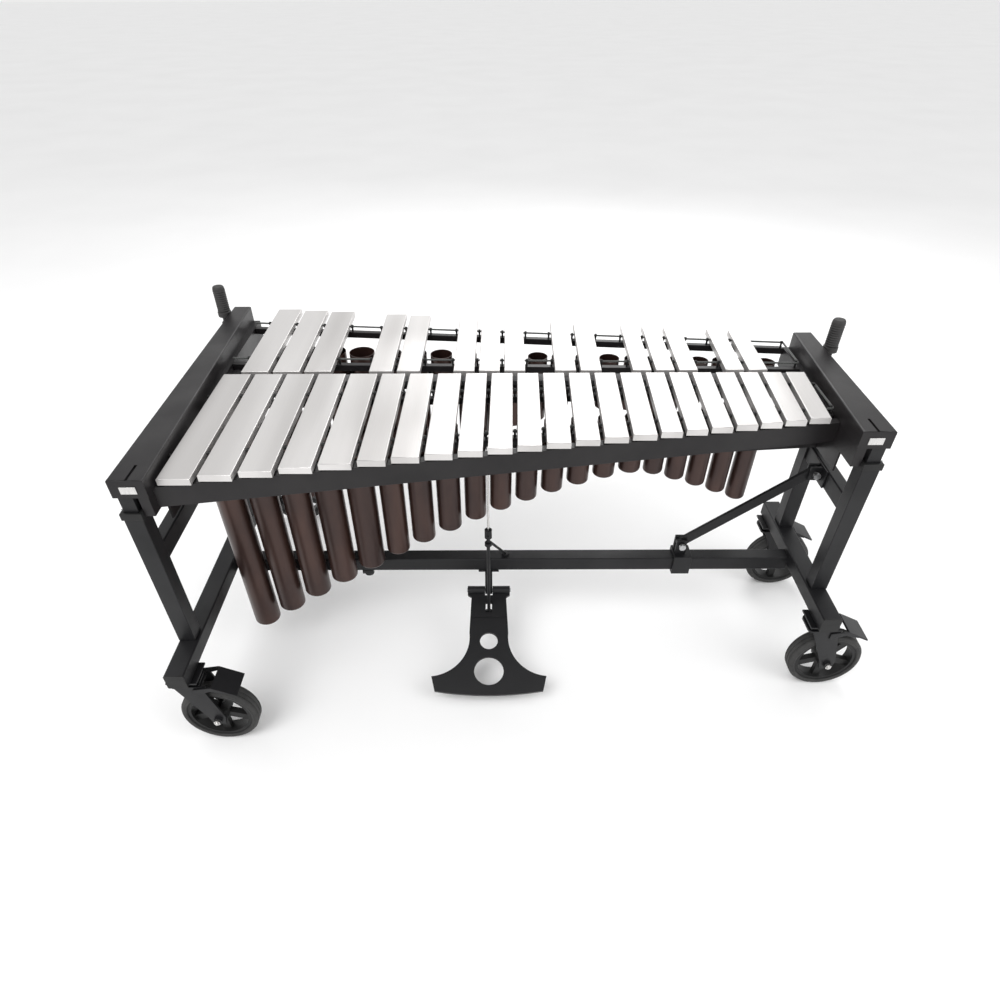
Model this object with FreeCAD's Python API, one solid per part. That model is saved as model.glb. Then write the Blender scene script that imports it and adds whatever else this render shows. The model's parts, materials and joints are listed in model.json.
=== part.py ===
"""A three-octave vibraphone (F3 to F6) on a low rolling frame, modelled piece by piece.

Lengths are millimetres. While the pieces are made, X runs from the bass end to the treble end with
zero at the middle of the natural bars, Y runs away from the player with zero between the two rows,
and Z is the height above the floor. The last step moves everything so that the origin is the
bottom centre of the whole instrument.
"""
import FreeCAD, Part
import math
import os

from FreeCAD import Vector

# ---------------------------------------------------------------- driving dimensions
BAR_TOP = 615.0          # top of the tone bars above the floor, at the lowest height setting
BAR_THICK = 12.7
BAR_GAP = 10.0           # space between neighbouring bars
BAR_GROUPS = ((5, 58.0), (3, 50.0), (7, 45.0), (7, 40.0))   # how many naturals of each width
BASS_BAR = 398.0         # length of the lowest natural bar
TREBLE_BAR = 198.0       # length of the highest natural bar
SHARP_BASS = 357.0       # length of the lowest accidental bar
SHARP_TREBLE = 200.0     # length of the highest accidental bar
ROW_GAP = 12.0           # space between the two rows of bars
NODE_SHARE = 0.224       # a free bar is still at this share of its length from each end
BAR_ROUND = 1.5          # rounding of the long edges and corners

CORD_R = 2.0
CORD_CLEAR = 0.6         # bar hole and post eye round the cord
POST_R = 2.2
POST_DEEP = 9.0          # post foot inside its rail

FULL_WIDTH = 1380.0      # outside to outside of the end boards
BOARD_FRONT_W = 62.0     # end board width at the player's side
BOARD_REAR_W = 41.0
BOARD_THICK = 36.0
BOARD_RISE = 18.0        # end board top above the bar tops
WEB_DEPTH = 44.0         # side plate below each end board
WEB_THICK = 18.0
BOARD_BASS = (-434.0, 331.0)      # front and rear ends of the bass end board
BOARD_TREBLE = (-286.0, 160.0)

RAIL_DROP = 16.0         # top of the front rail below the bar tops
RAIL_HIGH = 42.0
RAIL_THICK = 18.0
RAIL_SETBACK = 5.0       # front rail behind the bar ends
NODE_RAIL_DROP = 18.0
NODE_RAIL_HIGH = 14.0
NODE_RAIL_THICK = 14.0

TUBE_GAP = 8.5           # space between neighbouring resonator tubes
TUBE_WALL = 1.2
TUBE_TOP_DROP = 30.0     # resonator mouth below the bar tops
TUBE_FORWARD = 10.0      # natural tubes hang this far ahead of the middle of their bars
ARCH_X = 260.0           # where the row of tube ends is highest
ARCH_DROP = 150.0        # tube ends below the bar tops there
ARCH_BASS_FALL = 382.0
ARCH_BASS_SPAN = 854.0
ARCH_TREBLE_FALL = 90.0
ARCH_TREBLE_SPAN = 242.0
SHARP_FALL = 0.82        # the accidental tubes follow the same arch, but less deep
SHORT_TUBE = 70.0        # the two highest natural tubes are plain short ones
STRIP_DROP = 78.0        # holding strips below the bar tops
STRIP_HIGH = 28.0
STRIP_THICK = 3.0

SLEEVE = 34.0            # outside of the square lower post
SLEEVE_WALL = 3.0
INNER_POST = 26.0        # outside of the square sliding post
SLEEVE_TOP_DROP = 52.0   # top of the sleeve below the bar tops
POST_INSIDE = 200.0      # sliding post inside its sleeve at the lowest setting
COLLAR_HIGH = 14.0
COLLAR_LIP = 2.5
LIFT = 120.0             # travel of the height adjustment
POSTS = {                # front-to-rear place of each post
    "front_left": -415.0,
    "rear_left": 245.0,
    "front_right": -268.0,
    "rear_right": -45.0,
}

BASE_W = 40.0
BASE_H = 36.0
BASE_TOP = 238.0         # top of the base rails above the floor
BASE_FRONT_OUT = 108.0   # base rail ahead of the front post
BASE_REAR_OUT = 82.0
BASE_WALL = 3.0
CAP_THICK = 4.0
SIDE_H = 40.0            # cross tube between front and rear post
SIDE_W = 26.0
SIDE_DROP = 145.0        # its top below the bar tops

CROSS_SIZE = 35.0        # square crossbar
CROSS_Y = -147.0
CROSS_TOP = 224.0
BRACE_X = 400.0          # clamp of the diagonal brace on the crossbar
BRACE_WIDE = 22.0
BRACE_THICK = 8.0
LOCK_X = -345.0

ROD_Y = -212.0
ROD_R = 2.5
ROD_CLEAR = 0.05
TUBE_ROD_R = 4.0
PIVOT_Y = -172.0         # pedal pivot
PIVOT_Z = 131.0
PEDAL_TILT = 20.0        # degrees below level at rest
PEDAL_PRESS = 6.0        # degrees of travel
PEDAL_THICK = 8.0

WHEEL_R = 80.0
TYRE_W = 38.0
TYRE_THICK = 13.0
TRAIL = 42.0             # wheel axle beside the swivel axis
FORK_CLEAR = 3.0
FORK_THICK = 4.0
AXLE_R = 5.0
RUN_CLEAR = 0.05         # radial clearance of wheels and pins that turn
AIR = 0.6                # space kept between pieces that move past each other
BRAKE_SWING = 16.0       # degrees

nodes = {}


# ---------------------------------------------------------------- small shape helpers
def block(x0, x1, y0, y1, z0, z1):
    return Part.makeBox(x1 - x0, y1 - y0, z1 - z0, Vector(x0, y0, z0))


def centred(x, y, z0, z1, wide, deep):
    return block(x - wide / 2, x + wide / 2, y - deep / 2, y + deep / 2, z0, z1)


def rod(radius, start, end):
    way = end - start
    return Part.makeCylinder(radius, way.Length, start, way)


def ring(outer, inner, start, end):
    return rod(outer, start, end).cut(rod(inner, start, end))


def prism(points, z0, z1):
    corners = [Vector(x, y, z0) for x, y in points]
    face = Part.Face(Part.makePolygon(corners + corners[:1]))
    return face.extrude(Vector(0, 0, z1 - z0))


def straight_bar(x0, y0, x1, y1, thick, z0, z1):
    """A bar whose front face runs straight from (x0, y0) to (x1, y1)."""
    return prism([(x0, y0), (x1, y1), (x1, y1 + thick), (x0, y0 + thick)], z0, z1)


def round_edges(shape, radius, wanted):
    chosen = [edge for edge in shape.Edges if wanted(edge)]
    return shape.makeFillet(radius, chosen)


def runs_along(edge, axis):
    ends = [v.Point for v in edge.Vertexes]
    if len(ends) < 2:
        return False
    way = (ends[1] - ends[0]).normalize()
    return abs(way.dot(axis)) > 0.99


def put(name, shapes):
    nodes[name] = shapes[0] if len(shapes) == 1 else Part.makeCompound(shapes)


X_AXIS = Vector(1, 0, 0)
Y_AXIS = Vector(0, 1, 0)
Z_AXIS = Vector(0, 0, 1)

# ---------------------------------------------------------------- where each bar lies
widths = [w for count, w in BAR_GROUPS for _ in range(count)]
row_length = sum(widths) + BAR_GAP * (len(widths) - 1)
row_left = -row_length / 2
natural_x = []
edge_x = row_left
for w in widths:
    natural_x.append(edge_x + w / 2)
    edge_x += w + BAR_GAP
# semitones of the naturals from F3, so that accidentals go only between whole-tone neighbours
WHOLE_TONE_AFTER = [i for i in range(len(widths) - 1) if i % 7 not in (3, 6)]

REAR_LINE = -ROW_GAP / 2
SHARP_LINE = ROW_GAP / 2


def share_along(x):
    return (x - natural_x[0]) / (natural_x[-1] - natural_x[0])


def natural_front(x):
    return REAR_LINE - BASS_BAR + (BASS_BAR - TREBLE_BAR) * share_along(x)


def sharp_rear(x):
    return SHARP_LINE + SHARP_BASS - (SHARP_BASS - SHARP_TREBLE) * share_along(x)


FAN = math.cos(math.atan((BASS_BAR - TREBLE_BAR) / row_length))
SHARP_FAN = math.cos(math.atan((SHARP_BASS - SHARP_TREBLE) / row_length))


def natural_front_x(x):
    """Bars are spaced alike along both slanting rails, so treble bars lean a little."""
    return row_left + (x - row_left) * FAN


def sharp_rear_x(x):
    return row_left + (x - row_left) / SHARP_FAN


def between(a, b, share):
    return a + (b - a) * share


def tone_bar(front, rear, wide):
    """A flat bar with its rounded rim, from the middle of one end to the middle of the other."""
    (fx, fy), (rx, ry) = front, rear
    half = wide / 2
    outline = [(fx - half, fy), (fx + half, fy), (rx + half, ry), (rx - half, ry)]
    bar = prism(outline, BAR_TOP - BAR_THICK, BAR_TOP)
    top_edges = lambda edge: min(v.Z for v in edge.Vertexes) > BAR_TOP - 0.01
    return round_edges(bar, BAR_ROUND, top_edges)


naturals = []
for x, w in zip(natural_x, widths):
    naturals.append(((natural_front_x(x), natural_front(x)), (x, REAR_LINE), w))


def sharp_over_gap(i):
    """The bar that lies, or would lie, behind the gap after natural i."""
    x = natural_x[i] + widths[i] / 2 + BAR_GAP / 2
    return (x, SHARP_LINE), (sharp_rear_x(x), sharp_rear(x)), min(widths[i], widths[i + 1])


sharps = [sharp_over_gap(i) for i in WHOLE_TONE_AFTER]

# ---------------------------------------------------------------- suspension cords and their posts
CORD_Z = BAR_TOP - BAR_THICK / 2
BOARD_IN = FULL_WIDTH / 2 - BOARD_FRONT_W
CORD_END = row_length / 2 + BAR_GAP / 2 + 3.0


def nodal_point(bar, share):
    (fx, fy), (rx, ry), _ = bar
    return Vector(between(rx, fx, share), between(ry, fy, share), CORD_Z)


def cord_line(row, share):
    """The straight line through the still points of the first and last bar of a row."""
    first, last = nodal_point(row[0], share), nodal_point(row[-1], share)
    slope = (last.y - first.y) / (last.x - first.x)
    return lambda x: Vector(x, first.y + slope * (x - first.x), CORD_Z)


LINES = {
    "natural": [cord_line(naturals, NODE_SHARE), cord_line(naturals, 1 - NODE_SHARE)],
    "accidental": [cord_line(sharps, NODE_SHARE), cord_line(sharps, 1 - NODE_SHARE)],
}


def drilled(bars, lines):
    holes = [rod(CORD_R + CORD_CLEAR, line(-BOARD_IN), line(BOARD_IN)) for line in lines]
    return [bar.cut(holes) for bar in bars]


put("natural_bars", drilled([tone_bar(*bar) for bar in naturals], LINES["natural"]))
put("accidental_bars", drilled([tone_bar(*bar) for bar in sharps], LINES["accidental"]))


PIN_AIR = 0.1
CORD_TURN = CORD_R + POST_R + PIN_AIR    # the cord turns round the two pins at the treble end


def corner_of(before, corner, after, radius):
    """Where an arc that touches both runs starts and ends, its middle and its centre."""
    into = (corner - before).normalize()
    out = (after - corner).normalize()
    turn = into.getAngle(out)
    back = radius * math.tan(turn / 2)
    inward = (out - into).normalize()
    centre = corner + inward * (radius / math.cos(turn / 2))
    return corner - into * back, centre - inward * radius, corner + out * back, centre


def rounded_path(points, radius):
    """Straight runs joined by arcs that touch both runs."""
    edges = []
    at = points[0]
    for before, corner, after in zip(points, points[1:], points[2:]):
        start, middle, end, _ = corner_of(before, corner, after, radius)
        edges.append(Part.LineSegment(at, start).toShape())
        edges.append(Part.Arc(start, middle, end).toShape())
        at = end
    edges.append(Part.LineSegment(at, points[-1]).toShape())
    return Part.Wire(edges)


def cord_route(lines):
    """One cord runs up one line, turns round at the treble end and comes back down the other."""
    rear, front = (lines[0], lines[1]) if lines[0](0).y > lines[1](0).y else (lines[1], lines[0])
    return [rear(-CORD_END), rear(CORD_END), front(CORD_END), front(-CORD_END)]


def cord_loop(lines):
    route = cord_route(lines)
    path = rounded_path(route, CORD_TURN)
    section = Part.Wire([Part.makeCircle(CORD_R, route[0], route[1] - route[0])])
    cord = path.makePipeShell([section], True, False)
    print("cord length", round(path.Length, 1), "volume ratio",
          round(cord.Volume / (path.Length * math.pi * CORD_R ** 2), 4))
    return cord


def turn_pin(centre):
    """A plain headed pin that the cord goes round."""
    foot = BAR_TOP - NODE_RAIL_DROP - POST_DEEP
    head = centre.z + CORD_R + 0.6
    pin = Part.makeCylinder(POST_R, head - foot, Vector(centre.x, centre.y, foot))
    cap = Part.makeCylinder(POST_R + 1.2, 1.6, Vector(centre.x, centre.y, head))
    return pin.fuse(cap).removeSplitter()


put("natural_cord", [cord_loop(LINES["natural"])])
put("accidental_cord", [cord_loop(LINES["accidental"])])


def cord_post(point, line_way):
    """A pin with an eye for the cord; the rubber sleeve of the eye keeps the bars apart."""
    foot = BAR_TOP - NODE_RAIL_DROP - POST_DEEP
    eye_r = CORD_R + CORD_CLEAR + 1.6
    half = 2.4
    pin = Part.makeCylinder(POST_R, point.z - foot, Vector(point.x, point.y, foot))
    way = line_way.normalize()
    eye = rod(eye_r, point - way * half, point + way * half)
    hole = rod(CORD_R + CORD_CLEAR / 2, point - way * 9, point + way * 9)
    return pin.fuse(eye).cut(hole)


def gap_places(row):
    """Middle of each gap beside a bar of the row, ends included."""
    places = []
    for (_, (rx, _), w) in row:
        for side in (-1, 1):
            x = rx + side * (w + BAR_GAP) / 2
            if not places or min(abs(x - p) for p in places) > BAR_GAP:
                places.append(x)
    return places


def line_x(x_rear, row_name, share):
    """Where the gap that starts at x_rear crosses the cord line at that share of the bar length."""
    if row_name == "natural":
        return between(x_rear, natural_front_x(x_rear), share)
    return between(sharp_rear_x(x_rear), x_rear, share)


posts = []
post_points = {}
for row_name, row in (("natural", naturals), ("accidental", sharps)):
    base = row if row_name == "natural" else [(None, (bar[0][0], 0), bar[2]) for bar in row]
    post_points[row_name] = []
    for share, line in zip((NODE_SHARE, 1 - NODE_SHARE), LINES[row_name]):
        way = line(100) - line(0)
        for x in gap_places(base)[:-1]:
            place = line(line_x(x, row_name, share))
            post_points[row_name].append(place)
            posts.append(cord_post(place, Vector(way)))
    route = cord_route(LINES[row_name])
    for before, corner, after in zip(route, route[1:], route[2:]):
        centre = corner_of(before, corner, after, CORD_TURN)[3]
        post_points[row_name].append(centre)
        posts.append(turn_pin(centre))
put("cord_posts", posts)

# ---------------------------------------------------------------- end boards, rails and posts
OUT = FULL_WIDTH / 2
BOARD_TOP = BAR_TOP + BOARD_RISE
BOARD_LOW = BOARD_TOP - BOARD_THICK
POST_X = OUT - SLEEVE / 2
WEB_GAP = 1.5            # side plate beside the collars of the posts
WEB_OUT = OUT - SLEEVE - COLLAR_LIP - WEB_GAP
WEB_IN = WEB_OUT - WEB_THICK


def end_board(side, board):
    """Tapered top board with a side plate under it, closed at both ends."""
    front, rear = board
    outline = [(side * OUT, front), (side * OUT, rear),
               (side * (OUT - BOARD_REAR_W), rear), (side * (OUT - BOARD_FRONT_W), front)]
    top = prism(outline, BOARD_LOW, BOARD_TOP)
    top = round_edges(top, 3.0, lambda edge: min(v.Z for v in edge.Vertexes) > BOARD_TOP - 0.01)
    web = block(WEB_IN, WEB_OUT, front + 8, rear, BOARD_LOW - WEB_DEPTH, BOARD_LOW)
    if side < 0:
        web = web.mirror(Vector(0, 0, 0), X_AXIS)
    slot = centred(side * (OUT - 34), front + 24, BOARD_TOP - 4, BOARD_TOP + 1, 5, 46)
    return top.fuse(web).removeSplitter().cut(slot)


put("end_board_left", [end_board(-1, BOARD_BASS)])
put("end_board_right", [end_board(1, BOARD_TREBLE)])

rail_top = BAR_TOP - RAIL_DROP


def spanning(y_of_x, thick, z_top, high):
    """A rail from one side plate to the other along a slanting line."""
    a, b = -WEB_IN, WEB_IN
    return straight_bar(a, y_of_x(a), b, y_of_x(b), thick, z_top - high, z_top)


front_line = lambda x: natural_front(x) + RAIL_SETBACK
front_rail = spanning(front_line, RAIL_THICK, rail_top, RAIL_HIGH)
put("front_rail", [front_rail.cut([nodes["end_board_left"], nodes["end_board_right"]])])

node_top = BAR_TOP - NODE_RAIL_DROP
node_rails = []
for row_name, row_lines in LINES.items():
    for line in row_lines:
        centre = lambda x, line=line: line(x).y - NODE_RAIL_THICK / 2
        bar = spanning(centre, NODE_RAIL_THICK, node_top, NODE_RAIL_HIGH)
        sockets = [Part.makeCylinder(POST_R + 0.1, POST_DEEP + 2, Vector(p.x, p.y, node_top - POST_DEEP - 0.3))
                   for p in post_points[row_name]]
        node_rails.append(bar.cut(sockets))
put("node_rails", node_rails)

plates = []
for side, board in ((-1, BOARD_BASS), (1, BOARD_TREBLE)):
    x = side * (OUT - 32)
    plates.append(block(x - 14, x + 14, board[0] - 1.5, board[0], BOARD_LOW + 9, BOARD_LOW + 23))
put("front_plates", plates)

inner_posts = []
INNER_FOOT = BAR_TOP - SLEEVE_TOP_DROP - POST_INSIDE
for name, y in POSTS.items():
    x = -POST_X if name.endswith("left") else POST_X
    outer = centred(x, y, INNER_FOOT, BOARD_LOW, INNER_POST, INNER_POST)
    bore = centred(x, y, INNER_FOOT, BOARD_LOW - 6, INNER_POST - 5, INNER_POST - 5)
    inner_posts.append(outer.cut(bore))
put("inner_posts", inner_posts)

# ---------------------------------------------------------------- carrying handles at the rear corners
HANDLE_X = OUT + 19.0
HANDLE_R = 16.0
HANDLE_Y = (BOARD_BASS[1] - 24.0, BOARD_TREBLE[1] - 72.0)
stems = []
grips = []
for side, y in ((-1, HANDLE_Y[0]), (1, HANDLE_Y[1])):
    x = side * HANDLE_X
    foot = BOARD_LOW - 4
    stem = Part.makeCylinder(8, 40, Vector(x, y, foot))
    lug_in, lug_out = sorted((side * OUT, side * (HANDLE_X + 9)))
    lug = block(lug_in, lug_out, y - 11, y + 11, foot, foot + 14)
    stems.append(stem.fuse(lug).removeSplitter())
    grip = Part.makeCylinder(HANDLE_R - 1, 58, Vector(x, y, foot + 40))
    grips.append(round_edges(grip, 5.0, lambda edge: edge.Vertexes[0].Z > foot + 60))
    grips.append(ring(HANDLE_R, 8.05, Vector(x, y, foot + 26), Vector(x, y, foot + 40)))
put("handle_stems", stems)
put("handle_grips", grips)

# ---------------------------------------------------------------- resonators
def arch_drop(x):
    """How far below the bar tops a tube at x ends."""
    if x < ARCH_X:
        return ARCH_DROP + ARCH_BASS_FALL * ((ARCH_X - x) / ARCH_BASS_SPAN) ** 1.44
    return ARCH_DROP + ARCH_TREBLE_FALL * ((x - ARCH_X) / ARCH_TREBLE_SPAN) ** 1.2


def resonator(x, y, radius, length):
    """An open-topped tube with a domed stopper closing its foot."""
    mouth = BAR_TOP - TUBE_TOP_DROP
    foot = mouth - length
    body = Part.makeCylinder(radius, length, Vector(x, y, foot))
    body = round_edges(body, 6.0, lambda edge: edge.Vertexes[0].Z < foot + 1)
    bore = Part.makeCylinder(radius - TUBE_WALL, length - 6, Vector(x, y, foot + 6 + 0.001))
    return body.cut(bore)


def bar_middle(bar, forward=0.0):
    (fx, fy), (rx, ry), _ = bar
    return between(fx, rx, 0.5), between(fy, ry, 0.5) - forward


def tube_radius(bar):
    return (bar[2] + BAR_GAP - TUBE_GAP) / 2


natural_places = []
natural_tubes = []
for i, bar in enumerate(naturals):
    x, y = bar_middle(bar, TUBE_FORWARD)
    is_short = i >= len(naturals) - 2
    length = SHORT_TUBE if is_short else arch_drop(x) - TUBE_TOP_DROP
    natural_places.append((x, y, tube_radius(bar)))
    natural_tubes.append(resonator(*natural_places[-1], length))
put("natural_resonators", natural_tubes)

# the rear row has a tube behind every gap of the front row; those with no bar above only close the row
sharp_places = []
sharp_tubes = []
for i in range(len(widths) - 1):
    bar = sharp_over_gap(i)
    x, y = bar_middle(bar)
    drop = between(ARCH_DROP, arch_drop(x), SHARP_FALL)
    sharp_places.append((x, y, tube_radius(bar)))
    sharp_tubes.append(resonator(*sharp_places[-1], drop - TUBE_TOP_DROP))
put("accidental_resonators", sharp_tubes)


STRIP_AIR = 0.4          # holding strip beside the tubes


def strip_pair(tubes):
    """Two thin strips that run along the front and the back of every tube in the row."""
    (x0, y0, r0), (x1, y1, r1) = tubes[0], tubes[-1]
    strips = []
    for side in (-1, 1):
        slope = (y1 - y0 + side * (r1 - r0)) / (x1 - x0)
        lean = math.cos(math.atan(slope))
        offset = max(side * (y - y0 - slope * (x - x0)) + r / lean for x, y, r in tubes) + STRIP_AIR

        def front_face(x):
            return y0 + slope * (x - x0) + side * offset - (STRIP_THICK if side < 0 else 0)

        strip = straight_bar(-WEB_IN, front_face(-WEB_IN), WEB_IN, front_face(WEB_IN), STRIP_THICK,
                             BAR_TOP - STRIP_DROP - STRIP_HIGH, BAR_TOP - STRIP_DROP)
        strips.append(strip)
    return strips


strips = strip_pair(natural_places) + strip_pair(sharp_places)


def hanger(side, board):
    """Angle under the side plate that carries the ends of the four holding strips."""
    web_low = BOARD_LOW - WEB_DEPTH
    strip_low = BAR_TOP - STRIP_DROP - STRIP_HIGH
    x0, x1 = sorted((side * WEB_IN, side * (WEB_IN + 4)))
    return block(x0, x1, board[0] + 60, board[1] - 20, strip_low, web_low)


put("resonator_strips", strips + [hanger(-1, BOARD_BASS), hanger(1, BOARD_TREBLE)])

# ---------------------------------------------------------------- damper, pull rod and pedal
FELT_HIGH = 10.0
FELT_WIDE = 34.0
DAMPER_HIGH = 8.0
felt_top = BAR_TOP - BAR_THICK - 0.3
damper_top = felt_top - FELT_HIGH
damper_low = damper_top - DAMPER_HIGH
DAMPER_END = row_length / 2 - 4
ROD_GAP_X = natural_x[9] - widths[9] / 2 - BAR_GAP / 2
ROD_X = between(ROD_GAP_X, natural_front_x(ROD_GAP_X), 0.5)      # in line with the gap between two tubes

GUIDE_PIN_R = 3.0
GUIDE_CLEAR = 0.4
GUIDE_PIN_X = DAMPER_END - 12.0
pin_bores = [rod(GUIDE_PIN_R + GUIDE_CLEAR, Vector(side * GUIDE_PIN_X, 0, damper_low - 1),
                 Vector(side * GUIDE_PIN_X, 0, felt_top + 1)) for side in (-1, 1)]
felt = block(-DAMPER_END, DAMPER_END, -FELT_WIDE / 2, FELT_WIDE / 2, damper_top, felt_top)
carrier = block(-DAMPER_END, DAMPER_END, -FELT_WIDE / 2, FELT_WIDE / 2, damper_low, damper_top)
put("damper_felt", [felt.cut(pin_bores)])
put("damper_bar", [carrier.cut(pin_bores)])

ARM_THICK = 3.0
ARM_HIGH = 16.0
ARM_DROP = 5.0           # the arm runs this far under the damper bar, clear of the node rail
arm_top = damper_low - ARM_DROP
arm_front = ROD_Y - 6
riser = block(ROD_X - 8, ROD_X + 8, -FELT_WIDE / 2, FELT_WIDE / 2, arm_top - 4, damper_low)
arm = block(ROD_X - ARM_THICK / 2, ROD_X + ARM_THICK / 2, arm_front, FELT_WIDE / 2, arm_top - ARM_HIGH, arm_top)
arm_eye = Part.makeCylinder(ROD_R + 2.5, ARM_HIGH, Vector(ROD_X, ROD_Y, arm_top - ARM_HIGH))
arm_hole = Part.makeCylinder(ROD_R + 0.02, ARM_HIGH + 1, Vector(ROD_X, ROD_Y, arm_top - ARM_HIGH - 0.5))
put("damper_arm", [arm.fuse([arm_eye, riser]).removeSplitter().cut(arm_hole)])

tilt = math.radians(PEDAL_TILT)
PEDAL_ARM = (PIVOT_Y - ROD_Y) / math.cos(tilt)           # pull tube ahead of the pivot, along the pedal
pull_z = PIVOT_Z - PEDAL_ARM * math.sin(tilt)
pull_travel = PEDAL_ARM * (math.sin(tilt + math.radians(PEDAL_PRESS)) - math.sin(tilt))
print("pull tube travel", round(pull_travel, 2))

guides = []
guide_top = damper_low - pull_travel - 6.0
for side in (-1, 1):
    x0, x1 = sorted((side * (GUIDE_PIN_X - 12), side * WEB_IN))
    bracket = block(x0, x1, -9, 9, guide_top - 12, guide_top)
    pin = rod(GUIDE_PIN_R, Vector(side * GUIDE_PIN_X, 0, guide_top), Vector(side * GUIDE_PIN_X, 0, felt_top - 1))
    guides.append(bracket.fuse(pin).removeSplitter())
put("damper_guides", guides)

TUBE_LOW = pull_z - 23.0
TUBE_HIGH = pull_z + 234.0
NUT_HIGH = 4.0
CLAMP_HIGH = 22.0
rod_foot = pull_z + 26.0
put("pull_rod", [rod(ROD_R, Vector(ROD_X, ROD_Y, rod_foot), Vector(ROD_X, ROD_Y, arm_top + 4))])

tube_start = Vector(ROD_X, ROD_Y, TUBE_LOW)
tube_end = Vector(ROD_X, ROD_Y, TUBE_HIGH)
pull_tube = rod(TUBE_ROD_R, tube_start, tube_end)
pull_tube = pull_tube.cut(rod(ROD_R + ROD_CLEAR, Vector(ROD_X, ROD_Y, rod_foot - 4), tube_end + Z_AXIS))
nut = rod(10.0, tube_start, tube_start + Z_AXIS * NUT_HIGH)
put("pull_tube", [pull_tube.fuse(nut).removeSplitter()])
clamp = ring(8.0, TUBE_ROD_R + 0.02, tube_end - Vector(0, 0, CLAMP_HIGH), tube_end)
clamp_screw = rod(2.5, Vector(ROD_X, ROD_Y - 6.5, TUBE_HIGH - 11), Vector(ROD_X, ROD_Y - 15, TUBE_HIGH - 11))
put("rod_clamp", [clamp.fuse(clamp_screw)])

# the pedal is drawn flat, pivot at zero, running to -Y, and then tilted about its pivot
EAR_HALF = 51.0
NECK_HALF = 42.0
WING_HALF = 132.0
WING_AT = 219.0
TOE_AT = 254.0
TOE_HALF = 123.5
TOE_BULGE = 10.0


def pedal_outline():
    right = [(NECK_HALF, 12.0), (NECK_HALF, 2.0), (EAR_HALF, -2.0), (EAR_HALF, -12.0), (NECK_HALF, -18.0),
             (NECK_HALF + 4, -112.0)]
    edges = []
    p = [Vector(x, y, 0) for x, y in right]
    m = [Vector(-v.x, v.y, 0) for v in p]
    for chain in (p, m):
        edges += [Part.LineSegment(a, b).toShape() for a, b in zip(chain, chain[1:])]
    edges.append(Part.LineSegment(m[0], p[0]).toShape())
    for s in (1, -1):
        neck = Vector(s * (NECK_HALF + 4), -112.0, 0)
        wing = Vector(s * WING_HALF, -WING_AT, 0)
        sweep = Vector(s * 72.0, -190.0, 0)
        toe = Vector(s * TOE_HALF, -TOE_AT, 0)
        edges.append(Part.Arc(neck, sweep, wing).toShape())
        edges.append(Part.LineSegment(wing, toe).toShape())
    toe_l, toe_r = Vector(-TOE_HALF, -TOE_AT, 0), Vector(TOE_HALF, -TOE_AT, 0)
    edges.append(Part.Arc(toe_l, Vector(0, -TOE_AT - TOE_BULGE, 0), toe_r).toShape())
    return Part.Wire(Part.__sortEdges__(edges))


SMALL_HOLE_AT = 132.0
SMALL_HOLE_R = 21.0
BIG_HOLE_AT = 206.0
BIG_HOLE_R = 34.0
PIN_R = 5.0
HUB_R = 10.0
HANGER_WIDE = 17.0


def tilted(shape):
    placed = shape.copy()
    placed.rotate(Vector(0, 0, 0), X_AXIS, PEDAL_TILT)
    placed.translate(Vector(ROD_X, PIVOT_Y, PIVOT_Z))
    return placed


plate_top = -2.0
plate = Part.Face(pedal_outline()).extrude(Vector(0, 0, -PEDAL_THICK))
plate.translate(Vector(0, 0, plate_top))
for at, radius in ((SMALL_HOLE_AT, SMALL_HOLE_R), (BIG_HOLE_AT, BIG_HOLE_R)):
    plate = plate.cut(Part.makeCylinder(radius, 40, Vector(0, -at, -20)))
hub = rod(HUB_R, Vector(-EAR_HALF, 0, 0), Vector(EAR_HALF, 0, 0))
hub_gap = block(-HANGER_WIDE / 2 - AIR, HANGER_WIDE / 2 + AIR, -13, 20, -20, 20)
pin_hole = rod(PIN_R + RUN_CLEAR, Vector(-EAR_HALF - 1, 0, 0), Vector(EAR_HALF + 1, 0, 0))
pull_slot = block(-7.5, 7.5, -PEDAL_ARM - 16, -PEDAL_ARM + 9, -20, 20)
pedal = plate.fuse(hub).removeSplitter().cut([hub_gap, pin_hole, pull_slot])
bridge = block(-NECK_HALF + 3, NECK_HALF - 3, -PEDAL_ARM - 30, -PEDAL_ARM - 20, plate_top, plate_top + 4)
put("pedal_board", [tilted(pedal.fuse(bridge).removeSplitter())])

cross_low = CROSS_TOP - CROSS_SIZE
stem = centred(ROD_X, PIVOT_Y + 8, PIVOT_Z - 9, cross_low, HANGER_WIDE, 26)
stem = stem.cut(rod(PIN_R - 0.02, Vector(ROD_X - 20, PIVOT_Y, PIVOT_Z), Vector(ROD_X + 20, PIVOT_Y, PIVOT_Z)))
stem_plate = block(ROD_X - 24, ROD_X + 24, CROSS_Y - CROSS_SIZE / 2, CROSS_Y + CROSS_SIZE / 2, cross_low - 5, cross_low)
put("pedal_hanger", [stem.fuse(stem_plate).removeSplitter()])
put("pedal_pin", [rod(PIN_R, Vector(ROD_X - EAR_HALF - 2, PIVOT_Y, PIVOT_Z), Vector(ROD_X + EAR_HALF + 2, PIVOT_Y, PIVOT_Z))])

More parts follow.
